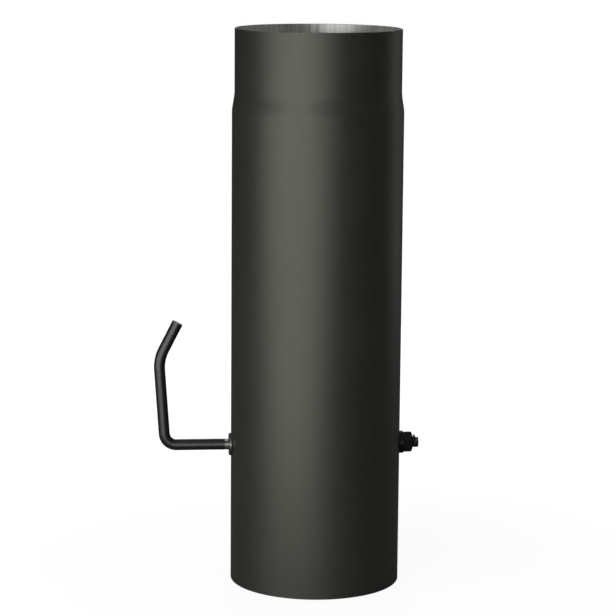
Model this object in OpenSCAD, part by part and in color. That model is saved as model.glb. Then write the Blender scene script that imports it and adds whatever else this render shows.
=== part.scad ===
// Stove pipe with a throttle damper: a straight steel flue length that plugs into the next one.
// The origin is on the pipe's axis at the bottom rim. +Z runs up the pipe.
// The damper's spindle lies along X, with its nut towards +X and its handle towards -X.
// The damper is drawn open: handle up, plate in line with the smoke.

/* [Pipe] */
// Overall height of the pipe, spigot included
pipe_h = 500; // [350:1:1000]
// Inner diameter of the pipe body, the nominal size it is sold by
pipe_id = 150; // [140:0.5:160]
// Thickness of the steel sheet
wall_t = 1.5; // [1:0.1:2.5]
// How much the bore is opened out where the next pipe's spigot goes in, on the diameter
socket_extra = 0.4; // [0.3:0.1:0.6]
// Height of this sized stretch of the bore
socket_len = 50; // [40:1:52]
// Height of the cone between the sized stretch and the rest of the bore
socket_cone = 4; // [3:0.5:6]
// Deburred edge on both rims
rim_chamfer = 0.3; // [0.1:0.05:0.4]

/* [Spigot] */
// Outer diameter of the drawn-in upper end
spigot_od = 148.6; // [146:0.1:149]
// Length of the straight part of the spigot
spigot_len = 55; // [40:1:70]
// Height over which the body is drawn in to the spigot
swage_len = 20; // [12:1:30]

/* [Seam] */
// Width of the long weld bead on the body's back
seam_w = 4; // [2:0.5:6]
// How far the weld bead stands out
seam_h = 0.35; // [0.1:0.05:0.6]

/* [Spindle] */
// Height of the spindle above the bottom rim
spindle_z = 125; // [122:1:160]
// Diameter of the round bar that is both spindle and handle
bar_d = 10; // [9:0.5:10]
// Diameter of the two spindle holes in the pipe wall
spindle_hole_d = 10.5; // [10.2:0.1:11]
// End of the spindle past the nut, measured from the pipe's axis
spindle_end = 94.2; // [93.5:0.1:97]
// Length of the slanted cut on the spindle's end
end_bevel_len = 4.2; // [1:0.1:5]
// Depth of the slanted cut on the spindle's end
end_bevel_drop = 2; // [0.5:0.1:3]
// Chamfer on the free ends of the bar
bar_chamfer = 0.6; // [0.2:0.1:1]

/* [Handle] */
// Distance from the pipe's axis to the corner where the bar turns up
handle_reach = 136.2; // [120:0.1:160]
// Length along the bar's line from that corner to the upper bend
handle_rise = 79; // [70:0.5:110]
// How far the upright leans away from the pipe, in degrees
handle_lean = 4; // [0:0.5:8]
// How far the tip leans back over, from the vertical, in degrees
tip_lean = 27; // [15:0.5:35]
// Length from the upper bend to the square-cut tip
tip_len = 37.5; // [25:0.5:45]
// Radius of the lower bend, at the bar's centre
lower_bend_r = 11; // [8:0.5:16]
// Radius of the upper bend, at the bar's centre
upper_bend_r = 35; // [20:1:45]
// How much the bar swells where it is bent, on the diameter
bend_swell = 0.04; // [0.02:0.01:0.1]

/* [Stop ears] */
// Length of the flattened stretch that stops the washer
ear_len = 4; // [2:0.5:6]
// Height of the bar where it is flattened
ear_h = 8; // [7:0.1:9.8]
// Width of the bar across the two squeezed-out ears
ear_w = 12; // [11:0.1:15]

/* [Spindle fittings] */
// Outer diameter of the plain washers
washer_od = 20.4; // [18:0.1:22]
// Hole of the plain washers
washer_id = 10.5; // [10.2:0.1:11]
// Thickness of a plain washer
washer_t = 1.8; // [1.6:0.1:2.5]
// Chamfer round the outward face of a plain washer
washer_edge = 0.4; // [0.1:0.05:0.6]
// Play between the pipe wall and the first washer on each side
end_play = 0.2; // [0.1:0.05:0.4]
// Width of the spindle nut across its flats
nut_af = 17; // [16:0.5:19]
// Thickness of the spindle nut
nut_t = 8; // [6:0.5:9]
// How far the nut's foremost corner stands above the horizontal, in degrees
nut_turn = 22; // [0:1:60]
// Distance from the nut's face to the split pin's middle
pin_gap = 2.6; // [2.4:0.1:4]
// Diameter of the closed split pin
pin_d = 3; // [2:0.1:3.2]
// Directions of its two bent legs, in degrees from straight up towards the bar's end
leg_leans = [-10, 22]; // [-10:1:45]
// Lengths of the two bent legs, measured from the pin's middle
leg_lens = [8.2, 5.8]; // [4:0.1:9]

/* [Damper plate] */
// Diameter of the damper plate
plate_d = 144; // [130:1:145]
// Thickness of the damper plate
plate_t = 2; // [1.5:0.5:3]
// Angle of the vent notch that keeps a draught when the plate is shut
notch_angle = 55; // [30:1:80]
// Radius at which the vent notch begins
notch_r = 32; // [25:1:45]

/* [Saddles] */
// Distance of each saddle from the plate's middle
saddle_x = 38; // [28:1:45]
// Width of each saddle strap
saddle_w = 16; // [12:1:22]
// Thickness of the saddle strap
saddle_t = 2; // [1.5:0.1:2.5]
// Distance of the fixing bolts from the spindle's axis
bolt_offset = 14; // [13.5:0.5:18]
// How far each saddle foot reaches from the spindle's axis
foot_reach = 20; // [19.5:0.5:24]
// Radius of the bend where strap meets foot
foot_bend = 1.5; // [0.5:0.25:2]
// Thread diameter of the fixing bolts
bolt_d = 5; // [4:0.5:5]
// Shank length of the fixing bolts
bolt_len = 12; // [11:1:16]
// Clearance hole for the fixing bolts
bolt_hole_d = 5.5; // [5.2:0.1:6]
// Width of bolt heads and nuts across their flats
bolt_af = 8; // [7:0.5:9]
// Height of the bolt heads
bolt_head_t = 3.5; // [2.5:0.1:4]
// Thickness of the small nuts
bolt_nut_t = 4; // [3:0.1:5]
// Outer diameter of the spring washers
spring_od = 9.2; // [8.5:0.1:10]
// Thickness of the spring washers
spring_t = 1.2; // [1:0.1:1.6]
// Play of the spring washers round their bolts, on the diameter
spring_play = 0.2; // [0.1:0.05:0.5]
// Width of the split in the spring washers
spring_split = 0.8; // [0.4:0.1:1.2]

/* [Hidden] */
$fn = 96;
// How far a cut runs past the face it starts from
cut = 1;
// Overlap where two outlines meet
eps = 0.01;
body_ri = pipe_id / 2;
body_ro = body_ri + wall_t;
socket_ri = body_ri + socket_extra / 2;
spigot_ro = spigot_od / 2;
spigot_ri = spigot_ro - wall_t;
swage_z1 = pipe_h - spigot_len;
swage_z0 = swage_z1 - swage_len;
swage_steps = 16;
seam_z0 = rim_chamfer;
// Stations along the spindle, all measured out from the pipe's axis
wall_out = body_ro + end_play;
stop_x = wall_out + washer_t;
inner_washer_x = wall_out;
outer_washer_x = inner_washer_x + washer_t;
nut_x = outer_washer_x + washer_t;
pin_x = nut_x + nut_t + pin_gap;
// The plate lies against the back of the spindle, the saddles close round its front
plate_y = bar_d / 2;
plate_back = plate_y + plate_t;
foot_y = plate_y - saddle_t;
strap_ro = bar_d / 2 + saddle_t;
lower_turn = 90 - handle_lean;
upper_turn = handle_lean + tip_lean;
lower_tangent = lower_bend_r * tan(lower_turn / 2);
upper_tangent = upper_bend_r * tan(upper_turn / 2);
upright_len = handle_rise - lower_tangent - upper_tangent;
tip_straight = tip_len - upper_tangent;
bend_overlap = 0.2;
// A nut's face is turned to a circle of this share of its width, at this angle
face_share = 0.95;
crown_angle = 30;
// The split pin's wire stands off the bar by this share of its thickness, its eye is this wide
stand_off_share = 0.6;
eye_share = 0.8;
black_paint = [0.09, 0.09, 0.085];
dark_steel = [0.14, 0.14, 0.14];
bare_steel = [0.42, 0.42, 0.41];

// A smooth S from 0 to 1 that leaves both ends level, for t from 0 to 1
function s_curve(t) = (1 - cos(180 * t)) / 2;
function swage_line(r0, r1) = [
    for (i = [0 : swage_steps])
        let (t = i / swage_steps)
        [r0 + (r1 - r0) * s_curve(t), swage_z0 + (swage_z1 - swage_z0) * t]
];
function reversed(list) = [for (i = [len(list) - 1 : -1 : 0]) list[i]];

// The pipe's wall in section, from the bottom rim up the outside and back down the bore
function wall_section() = concat(
    [[body_ro - rim_chamfer, 0],
     [body_ro, rim_chamfer]],
    swage_line(body_ro, spigot_ro),
    [[spigot_ro, pipe_h - rim_chamfer],
     [spigot_ro - rim_chamfer, pipe_h],
     [spigot_ri + rim_chamfer, pipe_h],
     [spigot_ri, pipe_h - rim_chamfer]],
    reversed(swage_line(body_ri, spigot_ri)),
    [[body_ri, socket_len + socket_cone],
     [socket_ri, socket_len],
     [socket_ri, rim_chamfer],
     [socket_ri + rim_chamfer, 0]]
);

// A bar or hole along X, from x0 to x1, at the spindle's height
module along_x(x0, x1, d) {
    translate([x0, 0, spindle_z]) rotate([0, 90, 0]) cylinder(d = d, h = x1 - x0);
}

module weld_seam() {
    seam_angle = seam_w / body_ro * 180 / PI;
    rotate([0, 0, 90 - seam_angle / 2])
        rotate_extrude(angle = seam_angle)
            translate([body_ro - wall_t / 2, seam_z0])
                square([wall_t / 2 + seam_h, swage_z0 - seam_z0]);
}

module pipe() {
    color(black_paint)
    difference() {
        union() {
            rotate_extrude() polygon(wall_section());
            weld_seam();
        }
        along_x(-body_ro - cut, body_ro + cut, spindle_hole_d);
    }
}

// A round bend that starts at the origin along +Z and curves towards +X
module bar_bend(r, turn) {
    translate([r, 0, 0]) rotate([0, 0, 180]) rotate([90, 0, 0])
        rotate_extrude(angle = turn) translate([r, 0]) circle(d = bar_d + bend_swell);
}

// Puts its children at the end of such a bend, facing on along the bar
module after_bend(r, turn) {
    translate([r * (1 - cos(turn)), 0, r * sin(turn)]) rotate([0, turn, 0]) children();
}

// A straight stretch of bar that runs a little way into the bends at its ends
module straight_bar(len) {
    translate([0, 0, -bend_overlap]) cylinder(d = bar_d, h = len + 2 * bend_overlap);
}

module chamfered_bar(len) {
    rotate_extrude() polygon([
        [0, -bend_overlap],
        [bar_d / 2, -bend_overlap],
        [bar_d / 2, len - bar_chamfer],
        [bar_d / 2 - bar_chamfer, len],
        [0, len]
    ]);
}

// The bent bar outside the pipe, from the lower bend on
module handle_bends() {
    bar_bend(lower_bend_r, lower_turn);
    after_bend(lower_bend_r, lower_turn) {
        straight_bar(upright_len);
        translate([0, 0, upright_len]) {
            bar_bend(upper_bend_r, upper_turn);
            after_bend(upper_bend_r, upper_turn) chamfered_bar(tip_straight);
        }
    }
}

// The bar squeezed flat, so that an ear stands out in front and behind
module stop_ears() {
    translate([-stop_x - ear_len, 0, spindle_z])
        intersection() {
            rotate([0, 90, 0]) cylinder(d = ear_w, h = ear_len);
            translate([0, -ear_w, -ear_h / 2]) cube([ear_len, 2 * ear_w, ear_h]);
        }
}

module spindle_handle() {
    bend_x = handle_reach - lower_tangent;
    color(black_paint)
    difference() {
        union() {
            along_x(-bend_x - bend_overlap, -stop_x - ear_len, bar_d);
            stop_ears();
            translate([-stop_x, 0, spindle_z]) rotate([0, 90, 0])
                chamfered_bar(spindle_end + stop_x);
            translate([-bend_x, 0, spindle_z]) rotate([0, -90, 0]) handle_bends();
        }
        // The slanted cut left on the end by the cropping shear
        translate([spindle_end - end_bevel_len, 0, spindle_z + bar_d / 2])
            rotate([0, atan(end_bevel_drop / end_bevel_len), 0])
                translate([0, -bar_d, 0]) cube([2 * bar_d, 2 * bar_d, bar_d]);
        // The split pin's hole
        translate([pin_x, bar_d, spindle_z]) rotate([90, 0, 0]) cylinder(d = pin_d, h = 2 * bar_d);
    }
}

// A washer whose inward face is at x, its chamfered face looking out along side
module plain_washer(x, side) {
    translate([x, 0, spindle_z]) rotate([0, side * 90, 0])
        rotate_extrude() polygon([
            [washer_id / 2, 0],
            [washer_od / 2, 0],
            [washer_od / 2, washer_t - washer_edge],
            [washer_od / 2 - washer_edge, washer_t],
            [washer_id / 2, washer_t]
        ]);
}

module handle_washer() {
    color(dark_steel) plain_washer(-wall_out, -1);
}

module inner_washer() {
    color(dark_steel) plain_washer(inner_washer_x, 1);
}

module outer_washer() {
    color(dark_steel) plain_washer(outer_washer_x, 1);
}

// A hexagon prism along +Z, its corners turned off on the top or on both faces
module hexagon(af, h, both_faces) {
    corner_r = af / sqrt(3);
    face_r = face_share * af / 2;
    turned_r = corner_r + cut;
    crown = (turned_r - face_r) * tan(crown_angle);
    bottom = both_faces ? [[face_r, 0], [turned_r, crown]] : [[turned_r, 0]];
    intersection() {
        rotate([0, 0, 30]) cylinder(r = corner_r, h = h, $fn = 6);
        rotate_extrude()
            polygon(concat([[0, 0]], bottom, [[turned_r, h - crown], [face_r, h], [0, h]]));
    }
}

module spindle_nut() {
    color(dark_steel)
    difference() {
        translate([nut_x, 0, spindle_z]) rotate([0, 90, 0]) rotate([0, 0, -nut_turn])
            hexagon(nut_af, nut_t, true);
        along_x(nut_x - cut, nut_x + nut_t + cut, bar_d);
    }
}

// A split pin pushed in from behind: an eye at the back, two legs bent up and apart in front
module split_pin() {
    wire = pin_d / 2;
    front = bar_d / 2;
    stand_off = stand_off_share * wire;
    shank_end = front + 2 * stand_off;
    leg_y = -front - stand_off;
    eye_r = eye_share * pin_d;
    color(dark_steel)
    translate([pin_x, 0, spindle_z]) {
        translate([0, shank_end, 0]) rotate([90, 0, 0]) cylinder(d = pin_d, h = 2 * shank_end);
        translate([0, shank_end + eye_r, 0]) rotate([0, 90, 0])
            rotate_extrude() translate([eye_r, 0]) circle(d = wire);
        for (i = [0, 1])
            translate([0, leg_y, 0]) rotate([0, leg_leans[i], 0]) cylinder(d = wire, h = leg_lens[i]);
    }
}

// The vent notch's outline: a sector that opens to the plate's rim and ends in an arc
module notch_outline() {
    half = notch_angle / 2;
    difference() {
        polygon([[0, 0], plate_d * [cos(half), -sin(half)], plate_d * [cos(half), sin(half)]]);
        circle(r = notch_r);
    }
}

module bolt_places() {
    for (x = [-saddle_x, saddle_x])
        for (z = [-bolt_offset, bolt_offset])
            translate([x, 0, spindle_z + z]) children();
}

module bolt_holes(y0, y1) {
    bolt_places() translate([0, y1, 0]) rotate([90, 0, 0]) cylinder(d = bolt_hole_d, h = y1 - y0);
}

module damper_plate() {
    color(bare_steel)
    difference() {
        translate([0, plate_back, spindle_z]) rotate([90, 0, 0])
            linear_extrude(plate_t)
                difference() {
                    circle(d = plate_d);
                    rotate(-90) notch_outline();
                }
        bolt_holes(plate_y - cut, plate_back + cut);
    }
}

// The strap in section across the spindle: X is along the smoke's way, Y is towards the plate
module saddle_section() {
    difference() {
        union() {
            circle(r = strap_ro);
            translate([-strap_ro, 0]) square([2 * strap_ro, plate_y]);
            translate([-foot_reach, foot_y]) square([2 * foot_reach, saddle_t]);
            for (side = [-1, 1])
                difference() {
                    translate([side * (strap_ro + foot_bend / 2), foot_y - foot_bend / 2])
                        square(foot_bend + eps, center = true);
                    translate([side * (strap_ro + foot_bend), foot_y - foot_bend]) circle(r = foot_bend);
                }
        }
        circle(d = bar_d);
        translate([-bar_d / 2, 0]) square([bar_d, strap_ro + cut]);
    }
}

module saddle(x) {
    color(dark_steel)
    difference() {
        translate([x + saddle_w / 2, 0, spindle_z]) rotate([0, -90, 0])
            linear_extrude(saddle_w) saddle_section();
        bolt_holes(foot_y - cut, plate_y + cut);
    }
}

module saddle_left() {
    saddle(-saddle_x);
}

module saddle_right() {
    saddle(saddle_x);
}

module saddle_bolts() {
    color(dark_steel)
    bolt_places() {
        translate([0, foot_y, 0]) rotate([90, 0, 0]) hexagon(bolt_af, bolt_head_t, false);
        translate([0, foot_y + bolt_len, 0]) rotate([90, 0, 0]) cylinder(d = bolt_d, h = bolt_len);
    }
}

module spring_washers() {
    color(dark_steel)
    bolt_places()
        difference() {
            translate([0, plate_back + spring_t, 0]) rotate([90, 0, 0])
                difference() {
                    cylinder(d = spring_od, h = spring_t);
                    translate([0, 0, -cut]) cylinder(d = bolt_d + spring_play, h = spring_t + 2 * cut);
                }
            translate([-spring_split / 2, plate_back - cut, 0])
                cube([spring_split, spring_t + 2 * cut, spring_od]);
        }
}

module saddle_nuts() {
    nut_y = plate_back + spring_t + bolt_nut_t;
    color(dark_steel)
    bolt_places()
        translate([0, nut_y, 0]) rotate([90, 0, 0])
            difference() {
                hexagon(bolt_af, bolt_nut_t, true);
                translate([0, 0, -cut]) cylinder(d = bolt_d, h = bolt_nut_t + 2 * cut);
            }
}

pipe();
spindle_handle();
handle_washer();
inner_washer();
outer_washer();
spindle_nut();
split_pin();
damper_plate();
saddle_left();
saddle_right();
saddle_bolts();
spring_washers();
saddle_nuts();
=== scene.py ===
# %% [markdown]
# # A stove pipe with a throttle damper
# This script dresses a steel flue pipe whose solids already exist: the rolled pipe, the bent bar
# that turns the damper plate, and the washers, nut and split pin that hold the bar.
# The solids arrive at their real size in metres, with the pipe's axis on Z, its bottom rim at
# Z = 0 and the bar along X. Nothing here moves them. What is added is what a solid lacks:
# heat-proof paint, bare steel, rubbed spots, light, and a camera where the photographer stood.
#
# The script is read from top to bottom, one step after another. Each step says first what the
# real thing is and how it could be made, and then makes it in a few lines.

# %% Load the frame
import math

import bpy
from mathutils import Matrix, Vector


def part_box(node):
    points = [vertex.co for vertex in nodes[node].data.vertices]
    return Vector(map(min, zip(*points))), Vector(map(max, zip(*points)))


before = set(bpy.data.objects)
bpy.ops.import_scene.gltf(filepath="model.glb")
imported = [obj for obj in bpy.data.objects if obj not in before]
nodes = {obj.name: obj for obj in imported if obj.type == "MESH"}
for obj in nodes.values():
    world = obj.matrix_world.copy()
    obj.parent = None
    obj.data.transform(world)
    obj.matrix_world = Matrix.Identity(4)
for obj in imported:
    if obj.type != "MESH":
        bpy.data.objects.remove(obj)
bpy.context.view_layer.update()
print("solids:", ", ".join(sorted(nodes)))

# %% [markdown]
# ## Where things are
# The finishes change from place to place: paint outside, bare steel inside, a weld at the back.
# The places could be typed in as numbers. They come from the solids' own boxes instead, so the
# finish stays on the metal if a size changes.

# %% Sizes taken from the solids
MM = 0.001
nut_low, nut_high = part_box("spindle_nut")
washer_low, washer_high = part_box("handle_washer")

pipe_radius, _, pipe_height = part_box("pipe")[1]
bar_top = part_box("spindle_handle")[1][2]
spindle_height = (nut_low[2] + nut_high[2]) / 2
washer_radius = (washer_high[2] - washer_low[2]) / 2
for what, length in (("pipe radius", pipe_radius), ("pipe height", pipe_height),
                     ("spindle height", spindle_height), ("top of the handle", bar_top),
                     ("washer radius", washer_radius)):
    print(what, round(length / MM, 1), "mm")

# %% [markdown]
# ## Writing shader sums as sums
# A material is a graph of nodes, and wiring it by hand hides the thought behind it. A small class
# that wraps one output lets a mask be written as it is meant, such as `1 - wear * 0.5`.
# Each operator adds the Math node that does the sum. Everything else comes from one method.

# %% A socket that can be added and multiplied
class Field:
    """A value that varies over a surface: one output of a node, usable in sums."""

    def __init__(self, socket):
        self.socket = socket

    @classmethod
    def node(cls, tree, kind, settings=None, inputs=None, output=0):
        """Adds a node, sets its settings, fills or links its inputs, and returns one output."""
        made = tree.nodes.new(kind)
        for name, value in (settings or {}).items():
            setattr(made, name, value)
        for key, value in (inputs or {}).items():
            if isinstance(value, Field):
                tree.links.new(value.socket, made.inputs[key])
            else:
                made.inputs[key].default_value = value
        return cls(made.outputs[output])

    def math(self, operation, *others):
        inputs = {i: value for i, value in enumerate((self, *others))}
        return Field.node(self.socket.id_data, "ShaderNodeMath", {"operation": operation}, inputs)

    def _swapped(self, operation, other):
        inputs = {0: other, 1: self}
        return Field.node(self.socket.id_data, "ShaderNodeMath", {"operation": operation}, inputs)

    def __add__(self, other):
        return self.math("ADD", other)

    def __radd__(self, other):
        return self._swapped("ADD", other)

    def __sub__(self, other):
        return self.math("SUBTRACT", other)

    def __rsub__(self, other):
        return self._swapped("SUBTRACT", other)

    def __mul__(self, other):
        return self.math("MULTIPLY", other)

    def __rmul__(self, other):
        return self._swapped("MULTIPLY", other)

    def __truediv__(self, other):
        return self.math("DIVIDE", other)

    def __rtruediv__(self, other):
        return self._swapped("DIVIDE", other)

    def __gt__(self, other):
        return self.math("GREATER_THAN", other)

    def __lt__(self, other):
        return self.math("LESS_THAN", other)

    def __abs__(self):
        return self.math("ABSOLUTE")

# %% [markdown]
# ## A few tools for every finish
# All the finishes here are made of the same few things: where a point is, a soft random cloud, a
# step from 0 to 1, a mix of two colours, and a bump. Each gets one short function, named for what
# it does, so that the finishes below read like a description of the metal.

# %% Where a point is
def place(tree):
    """Where a point of the solid is, in the part's own metres, and its three coordinates."""
    spot = Field.node(tree, "ShaderNodeTexCoord", output="Object")
    parts = Field.node(tree, "ShaderNodeSeparateXYZ", inputs={0: spot}).socket.node
    return spot, [Field(out) for out in parts.outputs]


def stretched(tree, spot, scale):
    """The same place with each axis scaled, which draws a texture out along the smallest."""
    settings = {"operation": "MULTIPLY"}
    return Field.node(tree, "ShaderNodeVectorMath", settings, {0: spot, 1: scale})

# %% Clouds, steps and mixed colours
def noise(tree, spot, per_metre, detail=3.0, roughness=0.5):
    """Soft random cloud around 0.5, with so many bumps to the metre."""
    inputs = {"Vector": spot, "Scale": per_metre, "Detail": detail, "Roughness": roughness}
    return Field.node(tree, "ShaderNodeTexNoise", inputs=inputs)


def smooth(value, low, high):
    """0 below low, 1 above high, and an S curve between."""
    settings = {"interpolation_type": "SMOOTHSTEP", "clamp": True}
    inputs = {"Value": value, "From Min": low, "From Max": high}
    return Field.node(value.socket.id_data, "ShaderNodeMapRange", settings, inputs)


def blend(factor, first, second):
    """Two colours mixed by a mask."""
    tree = factor.socket.id_data
    mixed = {0: factor, 6: first, 7: second}
    return Field.node(tree, "ShaderNodeMix", {"data_type": "RGBA"}, mixed, 2)

# %% Bumps
def bump(height, distance, strength=1.0, under=None):
    """A normal that tilts as the height field does; `under` is a normal to add it to."""
    inputs = {"Height": height, "Distance": distance, "Strength": strength}
    if under is not None:
        inputs["Normal"] = under
    return Field.node(height.socket.id_data, "ShaderNodeBump", inputs=inputs)


def relief(height_in_metres, under):
    """A bump from a height that is already a true length."""
    return bump(height_in_metres, 1.0, 1.0, under)

# %% Materials
def new_material(name):
    """An empty material and its node tree."""
    made = bpy.data.materials.new(name)
    made.use_nodes = True
    made.node_tree.nodes.clear()
    return made, made.node_tree


def surface(tree, **sockets):
    """One Principled surface with the named sockets set or linked."""
    inputs = {name.replace("_", " "): value for name, value in sockets.items()}
    return Field.node(tree, "ShaderNodeBsdfPrincipled", inputs=inputs)


def show(tree, shader, output="ShaderNodeOutputMaterial"):
    """Sends a shader to the output of a material, or of the world."""
    end = tree.nodes.new(output)
    tree.links.new(shader.socket, end.inputs["Surface"])


def finish_node(name, material):
    """Gives one solid its finish by filling its material slots."""
    for slot in nodes[name].material_slots:
        slot.material = material
    print(name, "is finished in", material.name)

# %% [markdown]
# ## Heat-proof paint
# A stove pipe is sprayed with silicone paint that is baked on. It is dark olive grey, nearly
# black, and dries to a satin skin: a broad, soft highlight with no sharp reflections. Close to,
# the skin has a fine orange peel, and the film's thickness drifts a little over the sheet.
# A plain colour would look like plastic, and a painted picture would blur close to. Three noises
# do better: a wide one for the drift, a middle one for the mottle and a fine one for the peel.
# The pigment's warm tint shows in the highlight too, so the gloss is tinted as well.

# %% The paint's colour, gloss and peel
PAINT_DARK = (0.0165, 0.017, 0.0145, 1)
PAINT_LIGHT = (0.0205, 0.021, 0.018, 1)
PAINT_ROUGHNESS = 0.45
PAINT_GLOSS = 0.75
PAINT_GLEAM = (1.0, 1.0, 0.86, 1)
DRIFT_PER_METRE, MOTTLE_PER_METRE, PEEL_PER_METRE = 14, 160, 850
PEEL_HEIGHT = 0.05 * MM
print("a grain of the paint's peel is", round(1 / PEEL_PER_METRE / MM, 2), "mm wide")


def paint_skin(tree, spot, extra_height):
    """Colour, roughness and normal of sprayed heat-proof paint over a relief in metres."""
    drift = noise(tree, spot, DRIFT_PER_METRE, detail=4)
    mottle = noise(tree, spot, MOTTLE_PER_METRE, detail=3)
    peel = noise(tree, spot, PEEL_PER_METRE, detail=2)
    tone = smooth(drift * 0.6 + mottle * 0.4, 0.35, 0.65)
    colour = blend(tone, PAINT_DARK, PAINT_LIGHT)
    roughness = PAINT_ROUGHNESS + (mottle - 0.5) * 0.12 + (drift - 0.5) * 0.08
    normal = relief(extra_height, under=bump(peel, PEEL_HEIGHT, 0.5))
    return colour, roughness, normal

# %% [markdown]
# ## Bare steel inside
# Only the outside is sprayed. The bore keeps the mill's finish: plain sheet with faint streaks
# that run up the pipe, left by the rolls that closed it, and a soft glare where light falls in.
# A streak is a cloud that is stretched a long way in one direction. The same steel serves the
# damper plate, with its streaks turned. It is not wholly metallic: a thin dull film of oxide
# scatters some light, and that keeps the deep bore from going black.

# %% Streaked mill steel
STEEL_DARK = (0.50, 0.495, 0.47, 1)
STEEL_LIGHT = (0.86, 0.855, 0.82, 1)
STEEL_ROUGHNESS = 0.33
STEEL_METALLIC = 0.78
CLOUDS_PER_METRE = 22
STREAK_HEIGHT = 0.02 * MM
STREAKS_UP_THE_PIPE = (420, 420, 6)
STREAKS_ALONG_X = (8, 300, 300)


def mill_steel(tree, spot, streaks_per_metre, extra_height=None):
    """Bare sheet: streaks along one axis, cloudy in tone."""
    streaks = noise(tree, stretched(tree, spot, streaks_per_metre), 1.0, detail=6, roughness=0.65)
    clouds = noise(tree, spot, CLOUDS_PER_METRE, detail=3)
    tone = smooth(streaks * 0.7 + clouds * 0.3, 0.3, 0.7)
    colour = blend(tone, STEEL_DARK, STEEL_LIGHT)
    roughness = STEEL_ROUGHNESS + (streaks - 0.5) * 0.22
    normal = bump(streaks, STREAK_HEIGHT, 0.6)
    if extra_height is not None:
        normal = relief(extra_height, under=normal)
    return surface(tree, Base_Color=colour, Metallic=STEEL_METALLIC,
                   Roughness=roughness, Normal=normal)

# %% [markdown]
# ## The weld at the back
# The last few millimetres of a sheet don't bend in the rolls, so the wall stays flat beside the
# weld and stands a hair outside the true circle. The bead itself is a row of small ripples, one
# for each drop of weld. The bead is in the solids. The flats and the ripples are far finer than
# the wall, so they are a relief that tilts the shading and leaves the round solid as it is.

# %% Flats and ripples
UNBENT_EDGE = 5 * MM
BEAD_HALF_WIDTH = 2.2 * MM
RIPPLE_PITCH = 1.3 * MM
RIPPLE_HEIGHT = 0.06 * MM
RIPPLE_DRIFT_PER_METRE = 300
print("the weld has about", round(pipe_height / RIPPLE_PITCH), "ripples")


def edge_flats(x, y):
    """How far the unbent sheet stands outside the true circle beside the weld, in metres."""
    left_flat = (UNBENT_EDGE - abs(x)).math("MAXIMUM", 0.0)
    return left_flat * left_flat / (2 * pipe_radius) * (y > 0)


def weld_ripples(tree, spot, x, y, z):
    """The drops of the weld bead, one above another and a little uneven, in metres."""
    on_bead = smooth(abs(x), BEAD_HALF_WIDTH, 0.6 * BEAD_HALF_WIDTH) * (y > 0)
    unevenness = noise(tree, spot, RIPPLE_DRIFT_PER_METRE) * 3
    ripple = (z * (2 * math.pi / RIPPLE_PITCH) + unevenness).math("SINE")
    return on_bead * ripple * RIPPLE_HEIGHT

# %% [markdown]
# ## Paint outside, steel inside
# The pipe is one solid, so one material has to hold both finishes. A mask tells them apart: the
# side that faces the axis is steel and the rest is paint. Handling knocks small chips out of the
# paint on both rims, so near them a fine cloud lets some steel through.

# %% Two masks for the pipe
CHIPPED_STEEL = (0.35, 0.345, 0.33, 1)
CHIPS_PER_METRE = 420
CHIPPED_BAND = 1.6 * MM


def facing_axis(tree, x, y):
    """1 where the surface looks towards the pipe's axis, else 0."""
    normal = Field.node(tree, "ShaderNodeNewGeometry", output="Normal")
    outward = Field.node(tree, "ShaderNodeCombineXYZ", inputs={"X": x, "Y": y})
    dot = {"operation": "DOT_PRODUCT"}
    leaning = Field.node(tree, "ShaderNodeVectorMath", dot, {0: normal, 1: outward}, "Value")
    return leaning < -0.02


def rim_chips(tree, spot, z):
    """1 in the small chips on the two rims."""
    from_middle = abs(z - pipe_height / 2)
    edge = smooth(from_middle, pipe_height / 2 - CHIPPED_BAND, pipe_height / 2 - 0.1 * MM)
    return smooth(noise(tree, spot, CHIPS_PER_METRE, detail=4) + edge * 0.22, 0.76, 0.82) * edge

# %% Dress the pipe
def pipe_finish():
    """Chipped paint on the outside, streaked steel on the inside."""
    made, tree = new_material("painted pipe")
    spot, (x, y, z) = place(tree)
    flats = edge_flats(x, y)
    relief_outside = weld_ripples(tree, spot, x, y, z) + flats
    colour, roughness, normal = paint_skin(tree, spot, relief_outside)
    chips = rim_chips(tree, spot, z)
    paint = surface(tree, Base_Color=blend(chips, colour, CHIPPED_STEEL), Metallic=chips,
                    Roughness=roughness, Normal=normal,
                    Specular_IOR_Level=PAINT_GLOSS, Specular_Tint=PAINT_GLEAM)
    steel = mill_steel(tree, spot, STREAKS_UP_THE_PIPE, 0 - flats)
    sides = {0: facing_axis(tree, x, y), 1: paint, 2: steel}
    show(tree, Field.node(tree, "ShaderNodeMixShader", inputs=sides))
    return made


finish_node("pipe", pipe_finish())

# %% [markdown]
# ## The bar
# The handle and spindle are one drawn bar. It is blackened, not sprayed: it is darker and more
# neutral than the pipe, and smooth enough to show a narrow highlight along its middle. The black
# is thin, so it is gone where the shear cropped the end and where the two ears rub the washer.
# Past the nut the bar is threaded. The thread is drawn by a bump, because its grooves are finer
# than the solids need: a saw wave along X that climbs one pitch in each turn.

# %% Where the black has gone
BAR_BLACK = (0.0035, 0.0035, 0.0035, 1)
BAR_WORN = (0.20, 0.198, 0.19, 1)
CHIPPED_END, BARE_END = 3 * MM, 1 * MM
EAR_ZONE = 5 * MM
EAR_FROM, EAR_FULL = 4.9 * MM, 5.8 * MM
END_CHIPS_PER_METRE = 700
SCUFFS_PER_METRE = (900, 900, 120)


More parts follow.
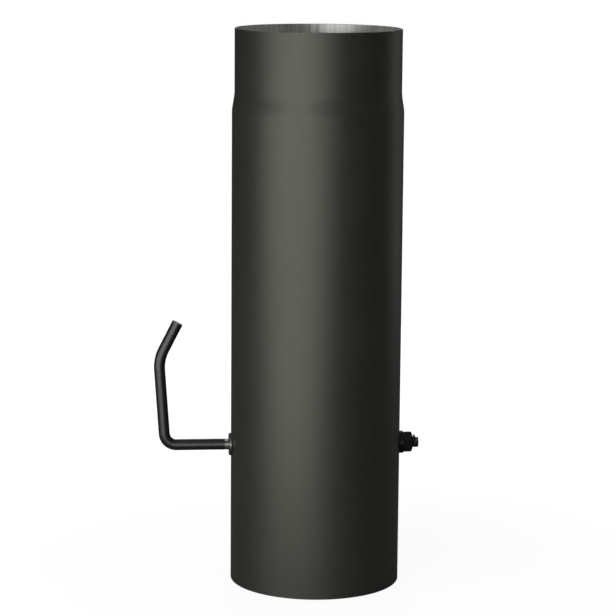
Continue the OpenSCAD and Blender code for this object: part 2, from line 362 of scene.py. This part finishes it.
def bar_wear(tree, spot, x, y, z):
    """1 where the black has gone: chips at the cropped end, and the outsides of the ears."""
    chips = smooth(noise(tree, spot, END_CHIPS_PER_METRE, detail=3), 0.5, 0.6)
    at_the_end = smooth(z, bar_top - CHIPPED_END, bar_top - BARE_END)
    beside_washer = (x > washer_low[0] - EAR_ZONE) * (x < washer_low[0])
    on_the_ears = smooth(abs(y), EAR_FROM, EAR_FULL) * beside_washer
    scratches = noise(tree, stretched(tree, spot, SCUFFS_PER_METRE), 1.0, detail=4)
    scuffs = smooth(scratches, 0.62, 0.74) * 0.25
    return (at_the_end * chips).math("MAXIMUM", on_the_ears).math("MAXIMUM", scuffs)

# %% The thread
THREAD_PITCH = 1.5 * MM
THREAD_DEPTH = 0.35 * MM


def thread_height(x, y, z):
    """Height of the thread's ridges, in metres; 0 where the bar is plain."""
    turn = (z - spindle_height).math("ARCTAN2", y) / (2 * math.pi)
    saw = (x / THREAD_PITCH + turn).math("FRACT")
    return abs(saw - 0.5) * (2 * THREAD_DEPTH) * (x > nut_low[0])


# %% Dress the bar
BAR_ROUGHNESS = 0.36
GRAIN_PER_METRE = 1300
GRAIN_HEIGHT = 0.03 * MM


def bar_finish():
    """Thin black over a drawn bar, worn in places, with a thread at its far end."""
    made, tree = new_material("blackened bar")
    spot, (x, y, z) = place(tree)
    wear = bar_wear(tree, spot, x, y, z)
    grain = noise(tree, spot, GRAIN_PER_METRE, detail=3)
    normal = relief(thread_height(x, y, z), under=bump(grain, GRAIN_HEIGHT, 0.5))
    show(tree, surface(tree, Base_Color=blend(wear, BAR_BLACK, BAR_WORN), Metallic=wear,
                       Roughness=BAR_ROUGHNESS + (grain - 0.5) * 0.16, Normal=normal,
                       Specular_IOR_Level=PAINT_GLOSS))
    return made


finish_node("spindle_handle", bar_finish())

# %% [markdown]
# ## Black fasteners
# The nut, washers and split pin are black oxide, oiled: the darkest metal on the part, with few
# highlights. The washer beside the handle is rubbed by the ears, which turn against it, so a ring
# round its hole is bright. The pin's legs were bent with pliers and show a little metal too.
# One function makes all three, because they differ only in how much of the black has gone.

# %% Black oxide
OXIDE_BLACK = (0.003, 0.003, 0.003, 1)
RUBBED_STEEL = (0.24, 0.235, 0.22, 1)
OXIDE_GLOSS = 0.3
OXIDE_ROUGHNESS = 0.38
BLOTCHES_PER_METRE, SPECKS_PER_METRE = 260, 1400
RUB_RING = 6.4 * MM
WORN_RIM = washer_radius - 0.3 * MM


def ear_rub(y, z):
    """1 on the ring that the ears rub and on the washer's worn rim."""
    rise = z - spindle_height
    from_axis = (y * y + rise * rise).math("SQRT")
    rubbed_face = smooth(from_axis, RUB_RING + 0.8 * MM, RUB_RING)
    return rubbed_face.math("MAXIMUM", smooth(from_axis, WORN_RIM - 0.5 * MM, WORN_RIM))


def oxide_finish(name, rubbed, ring=False):
    """Black oxide; `rubbed` is how much has gone, and `ring` adds the ears' mark and a worn rim."""
    made, tree = new_material(name)
    spot, (x, y, z) = place(tree)
    blotches = noise(tree, spot, BLOTCHES_PER_METRE, detail=4)
    specks = noise(tree, spot, SPECKS_PER_METRE, detail=2)
    wear = smooth(blotches, 0.66 - 0.3 * rubbed, 0.84 - 0.3 * rubbed) * (0.2 + 0.5 * rubbed)
    if ring:
        wear = wear.math("MAXIMUM", ear_rub(y, z) * 0.9)
    show(tree, surface(tree, Base_Color=blend(wear, OXIDE_BLACK, RUBBED_STEEL), Metallic=wear,
                       Roughness=OXIDE_ROUGHNESS - wear * 0.06 + (specks - 0.5) * 0.15,
                       Normal=bump(specks, GRAIN_HEIGHT, 0.5), Specular_IOR_Level=OXIDE_GLOSS))
    return made

# %% Dress the fasteners
black_oxide = oxide_finish("black oxide", 0.0)
for fastener in ("inner_washer", "outer_washer", "spindle_nut"):
    finish_node(fastener, black_oxide)
finish_node("split_pin", oxide_finish("bent pin", 0.6))
finish_node("handle_washer", oxide_finish("rubbed washer", 0.2, ring=True))

# %% [markdown]
# ## Inside the pipe
# The photo doesn't look this far down, so these follow what such parts are made of. The damper
# plate and its saddles are plain sheet. Their streaks run along X, as the strip came off the
# coil. The small bolts, washers and nuts are zinc plated: paler, bluer and smoother.

# %% Plate and saddles
def sheet_finish():
    """Mill steel with its streaks along the bar."""
    made, tree = new_material("bare sheet")
    spot, _ = place(tree)
    show(tree, mill_steel(tree, spot, STREAKS_ALONG_X))
    return made

# %% Zinc
ZINC_DARK = (0.50, 0.52, 0.55, 1)
ZINC_LIGHT = (0.68, 0.69, 0.71, 1)
ZINC_ROUGHNESS = 0.3
SPANGLES_PER_METRE = 700


def zinc_finish():
    """Bright zinc plate with fine spangles."""
    made, tree = new_material("zinc plate")
    spot, _ = place(tree)
    spangle = noise(tree, spot, SPANGLES_PER_METRE, detail=3)
    show(tree, surface(tree, Base_Color=blend(spangle, ZINC_DARK, ZINC_LIGHT), Metallic=1.0,
                       Roughness=ZINC_ROUGHNESS + (spangle - 0.5) * 0.2))
    return made

# %% Dress the hidden pieces
bare_sheet = sheet_finish()
zinc_plate = zinc_finish()
for piece in ("damper_plate", "saddle_left", "saddle_right"):
    finish_node(piece, bare_sheet)
for piece in ("saddle_bolts", "spring_washers", "saddle_nuts"):
    finish_node(piece, zinc_plate)

# %% [markdown]
# ## The floor
# The pipe stands on a pale floor that runs out to white. Paint alone would leave it grey where
# the lamps don't reach, so for the camera, and for mirrors and glass, it also gives off a little
# light of its own, more and more with distance. Near the pipe the lamps do the rest, and there
# the pipe still shades the floor, so it doesn't float. Inside the pipe's own ring it gives off
# nothing, so that the bore looks as deep and dark from above as it is.

# %% What a ray comes from
ROOM_IN_MIRRORS = 0.02


def ray_kinds(tree):
    """1 for rays from the camera, and 1 for rays off gloss or through glass."""
    rays = Field.node(tree, "ShaderNodeLightPath").socket.node
    glossy = Field(rays.outputs["Is Glossy Ray"])
    mirrored = glossy.math("MAXIMUM", Field(rays.outputs["Is Transmission Ray"]))
    return Field(rays.outputs["Is Camera Ray"]), mirrored

# %% A pale floor
FLOOR_SIZE = 14
FLOOR_CARD = (0.13, 0.13, 0.13, 1)
FLOOR_LIFT_NEAR = 0.91
FLOOR_LIFT_FAR = 1.0
FADE_FROM, FADE_TO = 0.15, 0.7
WHITE = (1, 1, 1, 1)


def white_floor():
    """A large plane whose white comes partly from its own glow."""
    made, tree = new_material("white floor")
    seen, mirrored = ray_kinds(tree)
    card = surface(tree, Base_Color=FLOOR_CARD, Roughness=0.9)
    spot, (x, y, z) = place(tree)
    from_axis = (x * x + y * y).math("SQRT")
    away = smooth(from_axis, FADE_FROM, FADE_TO)
    outside = from_axis > pipe_radius - 1 * MM
    lift = seen * outside * (FLOOR_LIFT_NEAR + away * (FLOOR_LIFT_FAR - FLOOR_LIFT_NEAR))
    strength = lift + mirrored * ROOM_IN_MIRRORS
    glow = Field.node(tree, "ShaderNodeEmission", inputs={"Color": WHITE, "Strength": strength})
    show(tree, Field.node(tree, "ShaderNodeAddShader", inputs={0: card, 1: glow}))
    bpy.ops.mesh.primitive_plane_add(size=FLOOR_SIZE)
    plane = bpy.context.object
    plane.name = "floor"
    plane.data.materials.append(made)
    print("the floor is", FLOOR_SIZE, "m wide and white from", FADE_TO, "m outwards")


white_floor()

# %% [markdown]
# ## Light
# The photo has one broad soft light in front and to the left, which draws the tall highlight left
# of the pipe's middle. A wide, low panel draws most of it. A narrower one stands higher, adds to
# it, and reaches over the rim into the bore. A small one near the floor carries the highlight
# down to the foot, where the pipe would otherwise mirror dark floor. The right side falls away to
# near black, with a little fill from the ceiling, and a weak panel behind it draws the thin grey
# line at its edge. The last panel stands behind the pipe and lights the weld for other views.
# All of them face the pipe's axis and stand upright. How bright each is was found by rendering
# the pipe with one panel at a time and fitting the sum to the photo's tones.

# %% A soft box
CAMERA_TURN = math.radians(5.51)


def bearing(degrees_left):
    """A level direction from the pipe, counted from the camera's side round to its left."""
    turn = math.radians(degrees_left) + CAMERA_TURN
    return Vector((-math.sin(turn), -math.cos(turn), 0))


def soft_box(name, degrees_left, distance, height, width, tall, radiance):
    """An upright glowing panel; its watts follow from how bright its face is to be."""
    data = bpy.data.lights.new(name, "AREA")
    data.shape = "RECTANGLE"
    data.size = width
    data.size_y = tall
    data.energy = radiance * math.pi * width * tall
    lamp = bpy.data.objects.new(name, data)
    bpy.context.scene.collection.objects.link(lamp)
    lamp.location = bearing(degrees_left) * distance + Vector((0, 0, height))
    towards = Vector((0, 0, height)) - lamp.location
    lamp.rotation_euler = towards.to_track_quat("-Z", "Y").to_euler()
    lamp.visible_camera = False
    print(name, "stands at", [round(v, 2) for v in lamp.location],
          "with", round(data.energy, 1), "W")

# %% Five panels
# name, degrees to the left, distance, height of its middle, width, how tall, radiance
PANELS = (
    ("wide panel", 29.5, 1.3, 0.3, 2.6, 0.6, 2.6),
    ("rim panel", 29, 1.2, 0.95, 1.0, 0.82, 2.2),
    ("foot panel", 28, 0.6, 0.06, 0.6, 0.12, 2.0),
    ("edge panel", -127, 1.4, 0.8, 0.6, 1.6, 0.42),
    ("back panel", 180, 1.3, 0.45, 0.4, 0.9, 1.6),
)
for panel in PANELS:
    soft_box(*panel)

# %% [markdown]
# ## The room
# The background behind the pipe is plain white in the photo, yet the pipe mirrors a dark room:
# the white was cut out or stood far off. So the world is white for the camera, gives a mirror a
# trace of that white, and lights the pipe only from above, like a dim ceiling.

# %% A white background and a dim ceiling
CEILING_GLOW = 0.23
CEILING_FROM, CEILING_FULL = 0.15, 0.6


def room():
    """White to the camera, and a weak glow from overhead for everything else."""
    world = bpy.data.worlds.new("room")
    bpy.context.scene.world = world
    world.use_nodes = True
    tree = world.node_tree
    tree.nodes.clear()
    seen, mirrored = ray_kinds(tree)
    heading = Field.node(tree, "ShaderNodeTexCoord", output="Generated")
    upward = Field.node(tree, "ShaderNodeSeparateXYZ", inputs={0: heading}, output="Z")
    ceiling = smooth(upward, CEILING_FROM, CEILING_FULL) * CEILING_GLOW
    strength = seen + (1 - seen) * (ceiling + mirrored * ROOM_IN_MIRRORS)
    inputs = {"Color": WHITE, "Strength": strength}
    show(tree, Field.node(tree, "ShaderNodeBackground", inputs=inputs), "ShaderNodeOutputWorld")
    print("ceiling glow", CEILING_GLOW, "and a trace of white in mirrors", ROOM_IN_MIRRORS)


room()

# %% [markdown]
# ## The camera
# The pipe's outline gives the camera away: the rims' ellipses give its height, the narrowing
# towards the floor its distance and tilt. It stood about two metres off, a little above the
# pipe's top and turned towards the handle's side, with a long lens and hardly any roll. The
# numbers were solved from the outline all at once, hence their many digits.

# %% Stand the camera where the photographer stood
CAMERA_DISTANCE = 2.1246
CAMERA_ASIDE = -0.0075
CAMERA_ABOVE_PIPE = 0.1161
CAMERA_PITCH = math.radians(9.7955)
CAMERA_ROLL = math.radians(0.4819)
FRAME_PIXELS = 616
FOCAL_PIXELS = 2395.4
SENSOR_MM = 36


def stand_camera():
    """The photo's camera: placed, tilted and rolled in its own frame, then turned about Z."""
    data = bpy.data.cameras.new("camera")
    data.sensor_width = SENSOR_MM
    data.lens = FOCAL_PIXELS / FRAME_PIXELS * SENSOR_MM
    camera = bpy.data.objects.new("camera", data)
    bpy.context.scene.collection.objects.link(camera)
    stand = Matrix.Translation((CAMERA_ASIDE, -CAMERA_DISTANCE, pipe_height + CAMERA_ABOVE_PIPE))
    turn = Matrix.Rotation(-CAMERA_TURN, 4, "Z")
    tilt = Matrix.Rotation(math.radians(90) - CAMERA_PITCH, 4, "X")
    roll = Matrix.Rotation(CAMERA_ROLL, 4, "Z")
    camera.matrix_world = turn @ stand @ tilt @ roll
    bpy.context.scene.camera = camera
    spot = [round(v, 3) for v in camera.matrix_world.translation]
    print("lens", round(data.lens, 1), "mm, camera at", spot)


stand_camera()
bpy.context.scene.view_settings.view_transform = "Standard"
